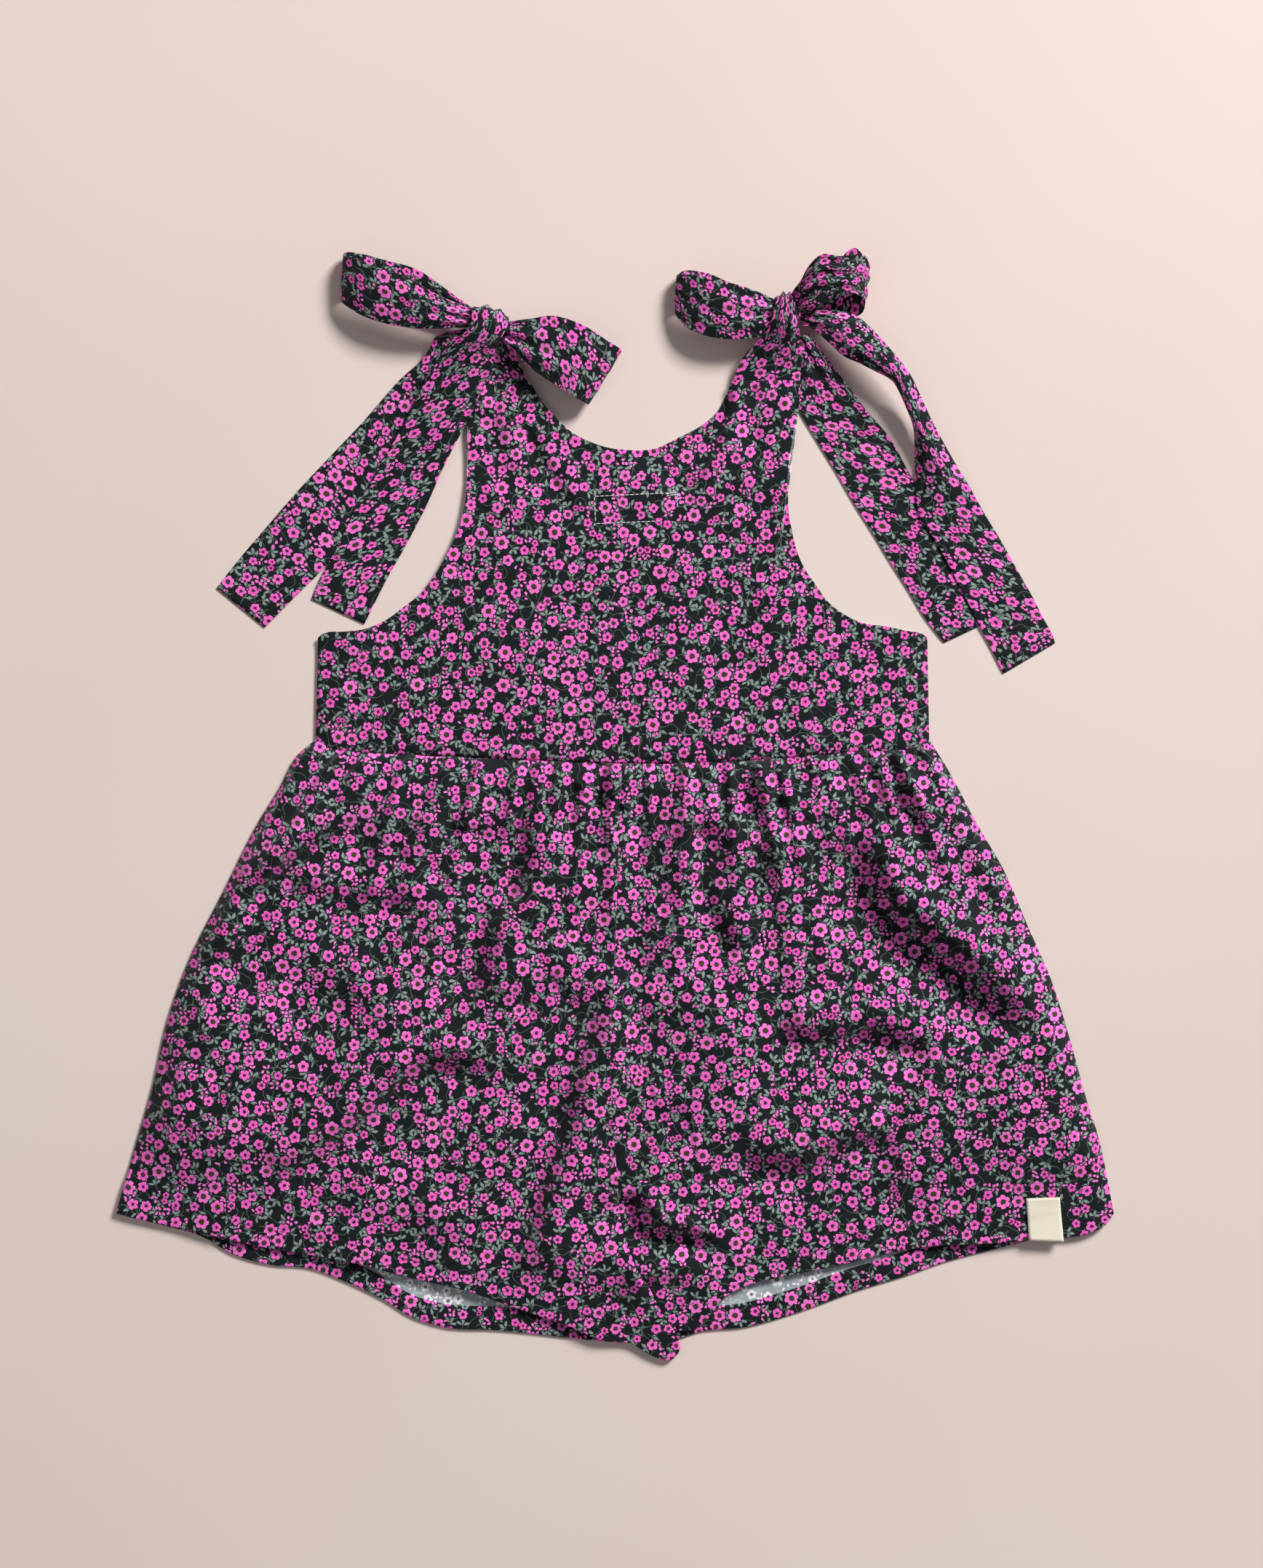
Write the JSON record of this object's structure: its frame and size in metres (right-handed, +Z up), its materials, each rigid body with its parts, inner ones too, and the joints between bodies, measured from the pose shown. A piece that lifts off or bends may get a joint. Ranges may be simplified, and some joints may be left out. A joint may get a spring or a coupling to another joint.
{
  "type": "playsuit",
  "caption": "Toddler's sleeveless playsuit in ditsy floral cotton, laid flat back up: scooped neck, shoulder ties knotted in bows, gathered waist, wide short legs.",
  "frame": {"origin": "middle of the garment's outline, on the surface it lies on", "axes": "+X to the right seen from above, the wearer's right; +Y from the hems to the shoulders; +Z up, out of the garment's back"},
  "size_m": [0.4894, 0.5432, 0.0279],
  "materials": {
    "printed_cotton": "cotton poplin printed with small pink flowers on dark green",
    "cream_tape": "plain cream woven tape, bare"
  },
  "bodies": {
    "root": {"front_bodice": "printed_cotton", "back_bodice": "printed_cotton", "front_left_leg": "printed_cotton", "front_right_leg": "printed_cotton", "back_left_leg": "printed_cotton", "back_right_leg": "printed_cotton", "left_back_tie": "printed_cotton", "right_back_tie": "printed_cotton", "left_bow_outer_loop": "printed_cotton", "left_bow_inner_loop": "printed_cotton", "left_bow_lower_tail": "printed_cotton", "left_bow_upper_tail": "printed_cotton", "left_bow_knot": "printed_cotton", "right_bow_outer_loop": "printed_cotton", "right_bow_inner_loop": "printed_cotton", "right_bow_lower_tail": "printed_cotton", "right_bow_upper_tail": "printed_cotton", "right_bow_knot": "printed_cotton", "hem_label": "cream_tape"}
  },
  "joints": []
}
